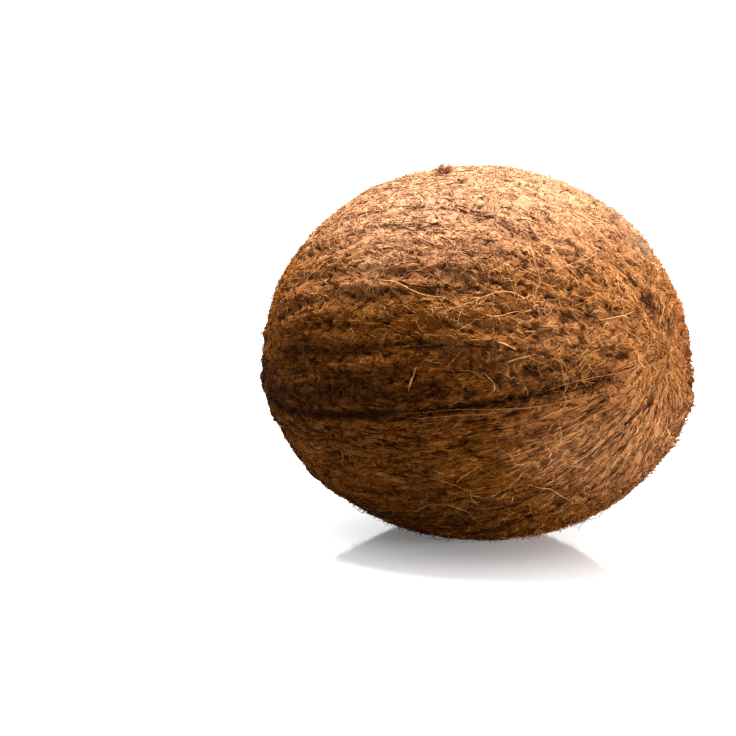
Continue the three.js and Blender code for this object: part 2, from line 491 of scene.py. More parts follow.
def coatRadius(n):
    alpha, psi = anglesOf(n)
    r = formRadius(n)
    calm = smooth(0, fineCoat["shaggyFade"], centre[2] + n[..., 2] * r)
    bundle = (1 - fineCoat["filling"]) * bundleRelief(alpha, psi)
    shaggy = bundle + lumpRelief(n, r) - (1 - fineCoat["furrowFilling"]) * furrowRelief(alpha, psi, r)
    fine = fineRelief(alpha, psi) * (1 - fineCoat["eyeFilling"] * eyeMask(n, r))
    fine = fine - holeMarks(n, r)[0]
    seam = (1 - fineCoat["seamFilling"]) * seamRelief(alpha, psi, r)
    return r + calm * (shaggy + fine) + ridgeRelief(alpha, psi, r) - seam + endRelief(n, alpha, r)


def coatPoints(n, lift, floorGap=0.0):
    p = centre + n * (coatRadius(n) + lift)[..., None]
    p[..., 2] = np.maximum(p[..., 2], floorGap)
    return p


# Objects

def addObject(name, mesh, material):
    obj = bpy.data.objects.new(name, mesh)
    bpy.context.scene.collection.objects.link(obj)
    mesh.materials.append(material)
    return obj


def setAttribute(mesh, name, kind, values):
    attribute = mesh.attributes.new(name, kind, "POINT")
    slot = {"FLOAT": "value", "FLOAT_VECTOR": "vector", "FLOAT_COLOR": "color"}[kind]
    attribute.data.foreach_set(slot, np.ascontiguousarray(values, dtype=np.float32).ravel())


def asPiece(obj):
    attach(obj, "root")
    return obj


# Materials

def newMaterial(name):
    material = bpy.data.materials.new(name)
    material.use_nodes = True
    nodes = material.node_tree.nodes
    nodes.clear()
    shader = nodes.new("ShaderNodeBsdfPrincipled")
    output = nodes.new("ShaderNodeOutputMaterial")
    material.node_tree.links.new(shader.outputs["BSDF"], output.inputs["Surface"])
    return material, nodes, material.node_tree.links, shader


def addRamp(nodes, stops):
    ramp = nodes.new("ShaderNodeValToRGB")
    elements = ramp.color_ramp.elements
    while len(elements) < len(stops):
        elements.new(0.5)
    for element, (position, colour) in zip(elements, stops):
        element.position = position
        element.color = (*colour, 1)
    return ramp


def addNoise(nodes, links, vector, scale, detail=3.0, roughness=0.6, distortion=0.0):
    noise = nodes.new("ShaderNodeTexNoise")
    noise.inputs["Scale"].default_value = scale
    noise.inputs["Detail"].default_value = detail
    noise.inputs["Roughness"].default_value = roughness
    noise.inputs["Distortion"].default_value = distortion
    links.new(vector, noise.inputs["Vector"])
    return noise.outputs["Fac"]


def addMath(nodes, links, operation, a, b=None, clamp=False):
    node = nodes.new("ShaderNodeMath")
    node.operation = operation
    node.use_clamp = clamp
    for socket, value in zip(node.inputs, (a, b)):
        if value is None:
            continue
        if isinstance(value, (int, float)):
            socket.default_value = value
        else:
            links.new(value, socket)
    return node.outputs[0]


def addMix(nodes, links, factor, a, b, blend="MIX"):
    node = nodes.new("ShaderNodeMix")
    node.data_type = "RGBA"
    node.blend_type = blend
    for socket, value in zip((node.inputs[0], node.inputs[6], node.inputs[7]), (factor, a, b)):
        if isinstance(value, (int, float)):
            socket.default_value = value
        elif isinstance(value, tuple):
            socket.default_value = (*value, 1)
        else:
            links.new(value, socket)
    return node.outputs[2]


def addMapping(nodes, links, vector, scale):
    mapping = nodes.new("ShaderNodeMapping")
    mapping.inputs["Scale"].default_value = scale
    links.new(vector, mapping.inputs["Vector"])
    return mapping.outputs["Vector"]


def addAttribute(nodes, name):
    node = nodes.new("ShaderNodeAttribute")
    node.attribute_name = name
    return node


matted = {"detail": 2.0, "roughness": 0.55, "distortion": 0.9, "sharpness": 7.0}


# Matted threads: thin curling lines, from the folds of a noise; 1 on a thread and 0 in the gaps
def makeThreadGroup():
    group = bpy.data.node_groups.new("coirThreads", "ShaderNodeTree")
    group.interface.new_socket("Vector", in_out="INPUT", socket_type="NodeSocketVector")
    group.interface.new_socket("Fineness", in_out="INPUT", socket_type="NodeSocketFloat")
    group.interface.new_socket("Threads", in_out="OUTPUT", socket_type="NodeSocketFloat")
    nodes, links = group.nodes, group.links
    entry = nodes.new("NodeGroupInput")
    leave = nodes.new("NodeGroupOutput")
    noise = nodes.new("ShaderNodeTexNoise")
    noise.inputs["Detail"].default_value = matted["detail"]
    noise.inputs["Roughness"].default_value = matted["roughness"]
    noise.inputs["Distortion"].default_value = matted["distortion"]
    links.new(entry.outputs["Vector"], noise.inputs["Vector"])
    links.new(entry.outputs["Fineness"], noise.inputs["Scale"])
    fold = addMath(nodes, links, "ABSOLUTE", addMath(nodes, links, "SUBTRACT", noise.outputs["Fac"], 0.5))
    gap = addMath(nodes, links, "MULTIPLY", fold, matted["sharpness"])
    thread = addMath(nodes, links, "SUBTRACT", 1.0, gap, clamp=True)
    links.new(thread, leave.inputs["Threads"])
    return group


threadGroup = makeThreadGroup()


def addThreads(nodes, links, vector, fineness):
    node = nodes.new("ShaderNodeGroup")
    node.node_tree = threadGroup
    node.inputs["Fineness"].default_value = fineness
    links.new(vector, node.inputs["Vector"])
    return node.outputs["Threads"]


# Bleached and lit husk, for the painted light and the bleached patches, from its dark gaps to its pale backs
bleachedAndLitHusk = ((0.110, 0.043, 0.017), (0.840, 0.470, 0.270))

# The coat's own finish: dark brown painted shade between the fibres, tan on their backs, grey-tan where it is
# worn bare
coatFinish = {
    "fibre": [
        (0.18, (0.018, 0.004, 0.001)),
        (0.40, (0.095, 0.025, 0.003)),
        (0.62, (0.270, 0.086, 0.011)),
        (0.90, (0.520, 0.240, 0.058)),
    ],
    "bare": [
        (0.3, (0.050, 0.031, 0.019)),
        (0.6, (0.190, 0.132, 0.088)),
    ],
    # painted shade in the seams, furrows, pits and other shaded places
    "groove": (0.016, 0.005, 0.001),
    "gloss": 0.02,
    "eye": (0.045, 0.024, 0.014),
    "combed": (1.25, 0.34),  # threads that lie along the grain: marks per millimetre across and along it
    "curled": (0.85, 0.60),
    "curledShare": 0.85,
    "cord": (0.5, 0.08),
    "gritSize": 2.6,
    "patchSize": 0.06,
    "threadWeight": 0.42,
    "cordWeight": 0.34,
    "gritWeight": 0.30,
    "patchWeight": 0.22,
    "darker": 0.12,
    "bareGain": 2.0,
    "roughness": (0.95, 0.25),  # in the gaps, and how much smoother the threads are
    "bump": 0.9,
    "bumpDepth": 0.35,
}


def makeCoatMaterial():
    material, nodes, links, shader = newMaterial("coirCoat")
    grain = addAttribute(nodes, "grain").outputs["Vector"]
    across, along = coatFinish["combed"]
    combed = addThreads(nodes, links, addMapping(nodes, links, grain, (across, across, along)), 1.0)
    across, along = coatFinish["curled"]
    curled = addThreads(nodes, links, addMapping(nodes, links, grain, (across, across, along)), 1.0)
    across, along = coatFinish["cord"]
    stretched = addMapping(nodes, links, grain, (across, across, along))
    cord = addNoise(nodes, links, stretched, 1.0, distortion=0.4)
    grit = addNoise(nodes, links, grain, coatFinish["gritSize"], roughness=0.7)
    patch = addNoise(nodes, links, grain, coatFinish["patchSize"], detail=2.0)
    fainter = addMath(nodes, links, "MULTIPLY", curled, coatFinish["curledShare"])
    threads = addMath(nodes, links, "MAXIMUM", combed, fainter)
    blend = addMath(nodes, links, "MULTIPLY", threads, coatFinish["threadWeight"])
    for part, weight in ((cord, "cordWeight"), (grit, "gritWeight"), (patch, "patchWeight")):
        share = addMath(nodes, links, "MULTIPLY", part, coatFinish[weight])
        blend = addMath(nodes, links, "ADD", blend, share)
    blend = addMath(nodes, links, "SUBTRACT", blend, coatFinish["darker"])
    ramp = addRamp(nodes, coatFinish["fibre"])
    links.new(blend, ramp.inputs["Fac"])
    bareRamp = addRamp(nodes, coatFinish["bare"])
    links.new(grit, bareRamp.inputs["Fac"])
    bare = addMath(nodes, links, "MULTIPLY", addAttribute(nodes, "bare").outputs["Fac"], cord, clamp=True)
    bare = addMath(nodes, links, "MULTIPLY", bare, coatFinish["bareGain"], clamp=True)
    # Painted light on top and towards the point, with bleached patches, turns the coat paler
    pale = addAttribute(nodes, "bleachAndLight").outputs["Fac"]
    colour = addMix(nodes, links, pale, ramp.outputs["Color"], addMix(nodes, links, blend, *bleachedAndLitHusk))
    colour = addMix(nodes, links, bare, colour, bareRamp.outputs["Color"])
    # Painted shade: the coat darkens towards the groove colour in seams, furrows, pits, holes and other
    # shaded places
    colour = addMix(nodes, links, addAttribute(nodes, "cavityShade").outputs["Fac"], colour, coatFinish["groove"])
    colour = addMix(nodes, links, addAttribute(nodes, "eye").outputs["Fac"], colour, coatFinish["eye"])
    links.new(colour, shader.inputs["Base Color"])
    shader.inputs["Specular IOR Level"].default_value = coatFinish["gloss"]
    gapRoughness, smoother = coatFinish["roughness"]
    rough = addMath(nodes, links, "MULTIPLY_ADD", threads, -smoother)
    rough.node.inputs[2].default_value = gapRoughness
    links.new(rough, shader.inputs["Roughness"])
    bump = nodes.new("ShaderNodeBump")
    bump.inputs["Strength"].default_value = coatFinish["bump"]
    bump.inputs["Distance"].default_value = coatFinish["bumpDepth"] * metre
    links.new(blend, bump.inputs["Height"])
    links.new(bump.outputs["Normal"], shader.inputs["Normal"])
    return material


# Fibre colours, from the dark roots to the pale straw of the loose ends
fibreFinish = {
    "tints": [
        (0.0, (0.026, 0.006, 0.001)),
        (0.3, (0.125, 0.033, 0.003)),
        (0.55, (0.310, 0.102, 0.014)),
        (0.8, (0.490, 0.250, 0.088)),
        (1.0, (0.740, 0.500, 0.270)),
    ],
    "roughness": 0.62,
    "gloss": 0.02,
    "mottle": 1100.0,  # marks per metre
    "mottleDepth": 0.3,
}


def makeFibreMaterial():
    material, nodes, links, shader = newMaterial("coirFibre")
    tint = nodes.new("ShaderNodeSeparateColor")
    links.new(addAttribute(nodes, "fibre").outputs["Color"], tint.inputs["Color"])
    where = nodes.new("ShaderNodeTexCoord").outputs["Object"]
    mottle = addNoise(nodes, links, where, fibreFinish["mottle"], detail=2.0)
    shade = addMath(nodes, links, "MULTIPLY_ADD", mottle, fibreFinish["mottleDepth"])
    shade.node.inputs[2].default_value = -fibreFinish["mottleDepth"] / 2
    ramp = addRamp(nodes, fibreFinish["tints"])
    strength = addMath(nodes, links, "ADD", tint.outputs["Red"], shade, clamp=True)
    links.new(strength, ramp.inputs["Fac"])
    # The green channel is painted light on top and towards the point, with bleached patches
    pale = addMix(nodes, links, strength, *bleachedAndLitHusk)
    colour = addMix(nodes, links, tint.outputs["Green"], ramp.outputs["Color"], pale)
    links.new(colour, shader.inputs["Base Color"])
    shader.inputs["Roughness"].default_value = fibreFinish["roughness"]
    shader.inputs["Specular IOR Level"].default_value = fibreFinish["gloss"]
    return material


coatMaterial = makeCoatMaterial()
fibreMaterial = makeFibreMaterial()
print("materials ready")

# The coat: a sheet wrapped round the grain axis and closed at both ends, then moved out to the surface
coat = {
    "around": 600,
    "along": 158,
    "weld": 1e-5,
    "pitShade": 0.7,
    "darkest": 0.95,
}


def wrapSheet():
    sheet = bmesh.new()
    bmesh.ops.create_grid(sheet, x_segments=coat["around"], y_segments=coat["along"], size=1)
    for vert in sheet.verts:
        psi = math.pi * vert.co.x
        alpha = math.pi * (0.5 + 0.5 * vert.co.y)
        vert.co = (math.sin(alpha) * math.cos(psi), math.sin(alpha) * math.sin(psi), math.cos(alpha))
    bmesh.ops.remove_doubles(sheet, verts=sheet.verts, dist=coat["weld"])
    bmesh.ops.recalc_face_normals(sheet, faces=sheet.faces)
    bmesh.ops.reverse_faces(sheet, faces=sheet.faces)  # the grain frame mirrors the sheet's own axes
    mesh = bpy.data.meshes.new("huskCoat")
    sheet.to_mesh(mesh)
    sheet.free()
    return mesh


def makeCoat():
    mesh = wrapSheet()
    ball = np.empty(len(mesh.vertices) * 3, dtype=np.float32)
    mesh.vertices.foreach_get("co", ball)
    ball = unit(ball.reshape(-1, 3).astype(float))
    alpha = np.arccos(np.clip(ball[:, 2], -1, 1))
    psi = np.arctan2(ball[:, 1], ball[:, 0])
    n = directionAt(alpha, psi)
    r = formRadius(n)
    points = coatPoints(n, np.zeros(len(n))) * metre
    mesh.vertices.foreach_set("co", points.astype(np.float32).ravel())
    mesh.shade_smooth()
    groove, pits = hollowness(n)
    setAttribute(mesh, "grain", "FLOAT_VECTOR", grainSpace(alpha, psi))
    # Painted shade in seams, furrows, pits, holes, along the seam lips, on the far side and underside
    setAttribute(mesh, "cavityShade", "FLOAT", np.clip(groove + coat["pitShade"] * pits, 0, coat["darkest"]))
    setAttribute(mesh, "bare", "FLOAT", bareness(alpha, psi, r))
    # Painted light on top and towards the point, with bleached patches
    setAttribute(mesh, "bleachAndLight", "FLOAT", bleachingAndLight(n))
    setAttribute(mesh, "eye", "FLOAT", np.clip(eyeMask(n, r), 0, 1))
    mesh.update()
    return mesh


# Where the coat is worn down to the shell: along the ridge near the top, and in two furrows
bareStrips = {
    "ridge": 1,
    "width": 4.5,
    "starts": (14, 26),
    "ends": (109, 84),
    "furrows": (0, 2),
    "furrowShare": 0.25,
    "breaks": (2.2, 11.0),  # width and length of the streaks of fibre that are left on them
    "wornAndLit": (0.6, 1.1),  # how bare they are between the streaks, and how much that varies
}


def bareness(alpha, psi, r):
    along = smooth(*bareStrips["starts"], alpha / degree) * smooth(*bareStrips["ends"], alpha / degree)
    strip = along * bell(acrossRidge(alpha, psi, r, bareStrips["ridge"]), bareStrips["width"])
    furrows = furrowRelief(alpha, psi, r, [nut["furrows"][k] for k in bareStrips["furrows"]])
    left = streaks(grainSpace(alpha, psi), seeds["bare"], *bareStrips["breaks"])
    wornAndLit, varied = bareStrips["wornAndLit"]
    strips = strip + bareStrips["furrowShare"] * np.clip(furrows, 0, 1)
    return strips * np.clip(wornAndLit + varied * left, 0, 1)


huskCoat = asPiece(addObject("huskCoat", makeCoat(), coatMaterial))
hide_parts("coconut")
print("coat ready:", len(huskCoat.data.polygons), "faces")


# Fibres

def makeSection():
    curve = bpy.data.curves.new("fibreSection", "CURVE")
    spline = curve.splines.new("POLY")
    spline.points.add(2)
    for k, point in enumerate(spline.points):
        point.co = (math.cos(k * turn / 3), -math.sin(k * turn / 3), 0, 1)
    spline.use_cyclic_u = True
    return bpy.data.objects.new("fibreSection", curve)


fibreSection = makeSection()
bpy.context.scene.collection.objects.link(fibreSection)


# Sweeps a three-sided section along every fibre; points and radii are in millimetres
def sweepFibres(name, points, radii, tint, bleachAndLight):
    count, steps = radii.shape
    curve = bpy.data.curves.new(name, "CURVE")
    curve.dimensions = "3D"
    curve.bevel_mode = "OBJECT"
    curve.bevel_object = fibreSection
    places = np.ones((count, steps, 4), dtype=np.float32)
    places[..., :3] = points * metre
    thickness = (radii * metre).astype(np.float32)
    for i in range(count):
        spline = curve.splines.new("POLY")
        spline.points.add(steps - 1)
        spline.points.foreach_set("co", places[i].ravel())
        spline.points.foreach_set("radius", thickness[i])
    swept = bpy.data.objects.new(name + "Curve", curve)
    bpy.context.scene.collection.objects.link(swept)
    evaluated = swept.evaluated_get(bpy.context.evaluated_depsgraph_get())
    mesh = bpy.data.meshes.new_from_object(evaluated)
    mesh.materials.clear()
    bpy.data.objects.remove(swept)
    bpy.data.curves.remove(curve)
    colours = np.zeros((count, steps, 3, 4))
    colours[..., 0] = np.broadcast_to(tint, (count, steps))[..., None]
    # Green: painted light on top and towards the point, with bleached patches
    colours[..., 1] = bleachAndLight[..., None]
    colours[..., 3] = 1
    setAttribute(mesh, "fibre", "FLOAT_COLOR", colours)
    closed = bmesh.new()
    closed.from_mesh(mesh)
    bmesh.ops.edgeloop_fill(closed, edges=[edge for edge in closed.edges if edge.is_boundary])
    closed.to_mesh(mesh)
    closed.free()
    mesh.shade_smooth()
    mesh.name = name
    return mesh


# Walks over the nut from each start, turning as it goes, and returns the directions passed through
def walk(start, heading, stepLength, turning):
    n = start.copy()
    alphaWay = unit(dot(n, grainAxis)[:, None] * n - grainAxis)
    sideWay = np.cross(n, alphaWay)
    way = np.cos(heading)[:, None] * alphaWay + np.sin(heading)[:, None] * sideWay
    path = [n]
    for j in range(turning.shape[1]):
        angle = (stepLength / formRadius(n))[:, None]
        n, way = np.cos(angle) * n + np.sin(angle) * way, np.cos(angle) * way - np.sin(angle) * n
        bend = turning[:, j, None]
        way = np.cos(bend) * way + np.sin(bend) * np.cross(n, way)
        path.append(n)
    return np.stack(path, axis=1)


# What all the layers share
growth = {
    "topUp": (0, 0.6),  # heights between which a layer changes to the share it has on top
    "openSeam": 0.6,  # how many fewer fibres grow in the seams, on the worn strips and in the eyes
    "openBare": 0.5,
    "openEye": 0.9,
    "combedLess": 0.65,  # how much straighter and how much more tangled the fibres lie
    "tangledMore": 0.9,
    "rippleWaves": (0.6, 1.6),
    "rootPower": 6,
    "rootLength": 0.25,  # the share of a fibre by which it has reached its level
    "tipPower": 2.2,
    "taperPower": 3,
    "patchSize": 14,
    "patchTint": 0.10,
    # Painted shade on the fibres over grooves and over pits
    "grooveShading": 0.55,
    "pitShading": 0.60,
}


# Random starts over the whole nut, even by area, and fewer where the coat is open
def scatterStarts(rng, count, topShare):
    found = np.empty((0, 3))
    while len(found) < count:
        n = unit(rng.normal(size=(2 * count, 3)))
        share = 1 + (topShare - 1) * smooth(*growth["topUp"], n[:, 2])
        chance = (formRadius(n) / nut["halfLength"]) ** 2 * openCoat(n) * share / max(1, topShare)
        found = np.concatenate((found, n[rng.random(len(n)) < chance]))
    return found[:count]


# Random starts close to a few places of the photograph
def clusterStarts(rng, count, places, reach):
    middles = np.array([underPixel(x, y) for x, y in places])
    chosen = middles[rng.integers(len(places), size=count)]
    return unit(chosen + rng.normal(0, reach / nut["halfWidth"], (count, 3)))


# The share of fibres that grow at n
def openCoat(n):
    alpha, psi = anglesOf(n)
    r = formRadius(n)
    seam = 1 - growth["openSeam"] * (seamRelief(alpha, psi, r) / nut["seamDepth"])
    bare = 1 - growth["openBare"] * bareness(alpha, psi, r)
    return seam * bare * (1 - growth["openEye"] * np.clip(eyeMask(n, r), 0, 1))


def growMat(name, plan, seed):
    rng = np.random.default_rng(seed)
    count, steps = plan["count"], plan["steps"]
    if "places" in plan:
        start = clusterStarts(rng, count, plan["places"], plan["reach"])
    else:
        start = scatterStarts(rng, count, plan["topShare"])
    loose = 1 - growth["combedLess"] * combing(start) + growth["tangledMore"] * tangling(start)
    heading = plan.get("heading", 0) + rng.normal(0, plan["spread"], count) * loose
    heading = heading + math.pi * (rng.random(count) < 0.5)  # half of them point the other way
    length = rng.uniform(*plan["length"], count)
    steady = rng.normal(0, plan["curl"], (count, 1))
    turning = (steady + rng.normal(0, plan["kink"], (count, steps))) * loose[:, None]
    path = walk(start, heading, length / steps, turning)
    s = np.linspace(0, 1, steps + 1)
    level = rng.uniform(*plan["level"], count)[:, None]
    tip = (plan["tip"] * rng.random(count) ** plan["tipRarity"])[:, None]
    phase = rng.random(count)[:, None]
    waves = rng.uniform(*growth["rippleWaves"], count)[:, None]
    ripple = plan["ripple"] * np.sin(turn * (phase + waves * s))
    root = -plan["sunk"] * (1 - s) ** growth["rootPower"]
    lift = root + level * smooth(0, growth["rootLength"], s) + tip * s ** growth["tipPower"] + ripple
    points = coatPoints(path, lift, plan["radius"][1])
    thick = rng.uniform(*plan["radius"], count)[:, None]
    radii = thick * (1 - plan["taper"] * s ** growth["taperPower"])
    patch = latticeNoise(start * nut["halfWidth"] / growth["patchSize"], seed + 1)
    groove, pits = hollowness(path)
    tint = (rng.normal(plan["tint"], plan["tintSpread"], count) + growth["patchTint"] * patch)[:, None]
    # Painted shade: the fibres darken where they cross the hollows and shaded places of the coat
    tint = tint - plan["hollowShade"] * (growth["grooveShading"] * groove + growth["pitShading"] * pits)
    mesh = sweepFibres(name, points, radii, np.clip(tint, 0, 1), bleachingAndLight(path))
    return asPiece(addObject(name, mesh, fibreMaterial))


# What most fibres share that gather at a few places of the photograph
gathered = {
    "steps": 4, "spread": 1.2, "curl": 0.2, "kink": 0.3, "tipRarity": 1, "ripple": 0.1, "sunk": 1.2,
    "taper": 0.5, "hollowShade": 0.2,
}
# Layers of matted coir: combed cords under short curled felt, with a thin frizz and stiff stubs on top,
# and then the gathered ones, with their places in pixels. A fibre lies within its spread of the grain or
# of a heading, curls steadily and kinks at random. Its root is sunk, its middle lies at its level, and the
# higher tipRarity is, the fewer tips stand up.
# Each layer says how strongly the painted shade of the hollows darkens its fibres
matLayers = {
    "matCombed": {
        "count": 5800, "steps": 5, "length": (5, 12), "spread": 0.20, "curl": 0.05, "kink": 0.12,
        "level": (-0.1, 0.22), "tip": 0.3, "tipRarity": 4, "ripple": 0.10, "sunk": 0.4, "topShare": 0.4,
        "radius": (0.14, 0.24), "taper": 0.6, "tint": 0.44, "tintSpread": 0.12, "hollowShade": 1.0,
    },
    "matFelt": {
        "count": 7200, "steps": 4, "length": (1.8, 4.5), "spread": 0.65, "curl": 0.30, "kink": 0.35,
        "level": (0.0, 0.30), "tip": 0.3, "tipRarity": 3, "ripple": 0.12, "sunk": 0.5, "topShare": 1.7,
        "radius": (0.12, 0.19), "taper": 0.5, "tint": 0.50, "tintSpread": 0.13, "hollowShade": 1.0,
    },
    "matCurls": {
        "count": 5800, "steps": 5, "length": (2.4, 6.0), "spread": 0.8, "curl": 0.42, "kink": 0.42,
        "level": (0.1, 0.45), "tip": 0.6, "tipRarity": 3, "ripple": 0.16, "sunk": 0.6, "topShare": 1.7,
        "radius": (0.10, 0.16), "taper": 0.6, "tint": 0.54, "tintSpread": 0.13, "hollowShade": 0.9,
    },
    "matFrizz": {
        "count": 1300, "steps": 7, "length": (5, 13), "spread": 0.9, "curl": 0.30, "kink": 0.30,
        "level": (0.3, 0.7), "tip": 1.6, "tipRarity": 3, "ripple": 0.2, "sunk": 0.9, "topShare": 1.0,
        "radius": (0.06, 0.11), "taper": 0.65, "tint": 0.60, "tintSpread": 0.13, "hollowShade": 0.6,
    },
    "stubs": {
        "count": 5200, "steps": 2, "length": (0.5, 1.8), "spread": 1.2, "curl": 0.1, "kink": 0.2,
        "level": (0.1, 0.5), "tip": 1.8, "tipRarity": 1.2, "ripple": 0.05, "sunk": 0.8, "topShare": 0.7,
        "radius": (0.09, 0.15), "taper": 0.7, "tint": 0.42, "tintSpread": 0.15, "hollowShade": 0.6,
    },
    "seamFrizz": {
        **gathered, "count": 70, "steps": 8, "length": (3.5, 7), "spread": 0.35, "curl": 0.22,
        "heading": 1.75, "level": (0.5, 1.0), "tip": 0.8, "tipRarity": 2, "ripple": 0.2, "sunk": 1.0,
        "radius": (0.10, 0.13), "tint": 0.60, "tintSpread": 0.08, "reach": 1.5,
        "places": [(548, 358), (556, 366), (566, 368), (574, 372), (562, 376), (583, 366)],
    },
    "seamFuzz": {
        **gathered, "count": 420, "steps": 5, "length": (1.5, 4.5), "spread": 1.0, "curl": 0.3, "kink": 0.35,
        "level": (-0.3, 0.9), "tip": 0.6, "tipRarity": 2, "ripple": 0.2, "sunk": 0.8,
        "radius": (0.09, 0.15), "tint": 0.42, "tintSpread": 0.12, "hollowShade": 0.25, "reach": 0.9,
        "places": [(500, 402), (512, 399), (524, 396), (536, 393), (548, 391), (560, 388), (572, 385),
                   (584, 381), (596, 378), (608, 376), (448, 410), (420, 413)],
    },
    "topTuft": {
        **gathered, "count": 60, "steps": 6, "length": (1.5, 4.5), "spread": 0.9,
        "level": (0.6, 1.9), "tip": 2.2, "ripple": 0.2, "sunk": 1.4,
        "radius": (0.10, 0.17), "tint": 0.42, "tintSpread": 0.12, "reach": 0.9,
        "places": [(443, 172), (445, 171)],
    },
    "edgeNubs": {
        **gathered, "count": 120, "length": (1.0, 3.0), "level": (0.2, 0.9), "tip": 1.6,
        "radius": (0.12, 0.18), "tint": 0.26, "tintSpread": 0.12, "reach": 0.7,
        "places": [(686, 338), (689, 352), (688, 366), (690, 378), (690, 396), (685, 407)],
    },
    "edgeBits": {
        **gathered, "count": 300, "length": (1.0, 2.8), "level": (0.3, 0.8), "tip": 1.8,
        "radius": (0.10, 0.16), "tint": 0.36, "tintSpread": 0.14, "reach": 5.0,
        "places": [(600, 212), (640, 242), (655, 262), (667, 285), (677, 308), (684, 328), (680, 415),
                   (668, 440), (656, 460), (641, 478), (622, 495), (600, 508), (576, 520), (548, 529),
                   (520, 534)],
    },
    "rimTufts": {
        **gathered, "count": 260, "length": (1.2, 3.4), "spread": 1.9, "curl": 0.3, "kink": 0.4,
        "level": (0.2, 0.9), "tip": 1.7,
        "radius": (0.11, 0.17), "tint": 0.44, "tintSpread": 0.12, "reach": 0.8,
        "places": [(683, 425), (676, 441), (669, 452), (661, 463), (651, 473), (640, 483), (633, 489),
                   (623, 497), (610, 506), (598, 513), (587, 519), (575, 525), (560, 530), (541, 534)],
    },
    "pointFringe": {
        **gathered, "count": 480, "steps": 5, "length": (2.5, 6.0), "spread": 0.9, "curl": 0.15, "kink": 0.25,
        "level": (0.3, 0.8), "tip": 2.6, "tipRarity": 1.5, "ripple": 0.2, "sunk": 1.0,
        "radius": (0.07, 0.12), "taper": 0.6, "tint": 0.50, "tintSpread": 0.14, "hollowShade": 0.4, "reach": 12.0,
        "places": [(680, 345), (678, 400), (660, 450), (625, 490), (580, 518)],
    },
}
for order, (layerName, layer) in enumerate(matLayers.items()):
    grown = growMat(layerName, layer, seeds["layers"] + 10 * order)
    print(layerName, "ready:", len(grown.data.polygons), "faces")


def addCamera():
    data = bpy.data.cameras.new("photoCamera")
    data.lens = view["lens"]
    camera = bpy.data.objects.new("photoCamera", data)
    camera.location = cameraPlace * metre
    camera.rotation_euler = (cameraAim - cameraPlace).to_track_quat("-Z", "Y").to_euler()
    bpy.context.scene.collection.objects.link(camera)
    bpy.context.scene.camera = camera


addCamera()

# Long fibres that stand out in the photograph, each through a few of its pixels, root first
strayFibres = {
    "routes": [
        [(529, 307), (524, 298), (516, 293), (504, 291), (490, 294), (473, 300), (455, 307), (439, 313)],
        [(370, 277), (385, 280), (400, 284), (412, 290), (424, 294), (443, 296), (457, 303)],
        [(463, 308), (459, 316), (457, 328)],
        [(484, 313), (494, 316), (506, 314), (516, 311), (525, 312)],
        [(533, 234), (532, 250), (536, 266), (541, 280), (536, 291), (541, 298), (552, 299), (566, 296)],
        [(355, 212), (345, 216), (340, 226), (340, 240), (343, 252)],
        [(348, 258), (360, 262), (372, 260), (383, 262)],
        [(355, 272), (368, 273), (378, 268), (389, 267)],
        [(599, 319), (607, 319), (616, 317), (625, 315), (634, 311)],
        [(659, 297), (660, 312), (660, 327)],
        [(479, 369), (487, 376), (494, 384), (492, 391), (485, 393)],
        [(416, 370), (413, 380), (411, 390)],
        [(405, 523), (412, 514), (424, 507), (438, 505), (452, 508), (464, 515), (475, 524), (490, 530)],
        [(455, 500), (470, 497), (484, 499), (500, 493), (514, 484), (522, 474)],
        [(525, 487), (540, 489), (555, 493), (566, 500), (576, 504)],
        [(470, 492), (473, 504), (482, 509)],
        [(548, 444), (560, 450), (574, 447), (584, 440), (587, 434)],
        [(600, 250), (588, 258), (574, 262), (560, 268), (552, 276)],
        [(540, 236), (552, 246), (561, 256), (566, 266)],
        [(535, 316), (529, 322), (522, 321), (516, 327)],
        [(400, 474), (416, 475), (431, 474), (445, 472)],
        [(455, 488), (461, 478), (470, 473), (482, 467)],
        [(553, 452), (558, 443), (560, 431), (559, 421)],
    ],
    "steps": 18, "radius": 0.125, "thinnest": 0.6, "rise": 1.0, "lift": 0.35, "tint": 0.80,
}
# Long straight fibres along the two lips of the front seam
seamFibres = {
    "routes": [
        [(536, 396), (552, 389), (571, 382), (590, 378), (611, 374), (630, 368), (648, 361)],
        [(386, 415), (420, 412), (460, 409), (500, 408), (540, 405), (560, 401), (581, 397), (600, 393),
         (616, 389)],
        [(410, 418), (440, 415), (480, 413), (510, 410)],
    ],
    "steps": 18, "radius": 0.13, "rise": 0.5, "lift": 0.45, "tint": 0.71,
}
# Dark grey-brown strands laid in the bottoms of the furrows as painted shade
furrowShadeStrands = {
    "routes": [
        [(398, 282), (412, 284), (428, 285), (446, 284)],
        [(452, 287), (462, 288), (472, 287), (480, 285)],
        [(484, 283), (498, 282), (512, 280), (527, 279)],
        [(404, 348), (418, 347), (432, 346), (448, 346)],
        [(450, 347), (466, 346), (484, 347), (500, 348)],
        [(500, 349), (510, 350), (519, 351), (527, 351)],
        [(575, 469), (586, 463), (604, 449), (620, 434)],
        [(622, 432), (632, 422), (641, 413), (649, 405)],
        [(540, 489), (552, 483), (563, 476), (574, 470)],
        [(386, 420), (398, 419), (410, 418), (422, 418)],
        [(436, 411), (448, 410), (460, 409), (472, 407)],
        [(452, 408), (464, 407), (476, 406), (490, 404)],
        [(474, 407), (484, 405), (494, 403), (506, 401)],
        [(529, 400), (544, 395), (559, 390), (576, 385)],
        [(576, 304), (584, 310), (592, 315), (599, 318)],
        [(560, 394), (572, 391), (584, 388), (596, 384)],
    ],
    "steps": 8, "radius": 0.26, "rise": 0.15, "lift": 0.22, "tint": 0.02,
}
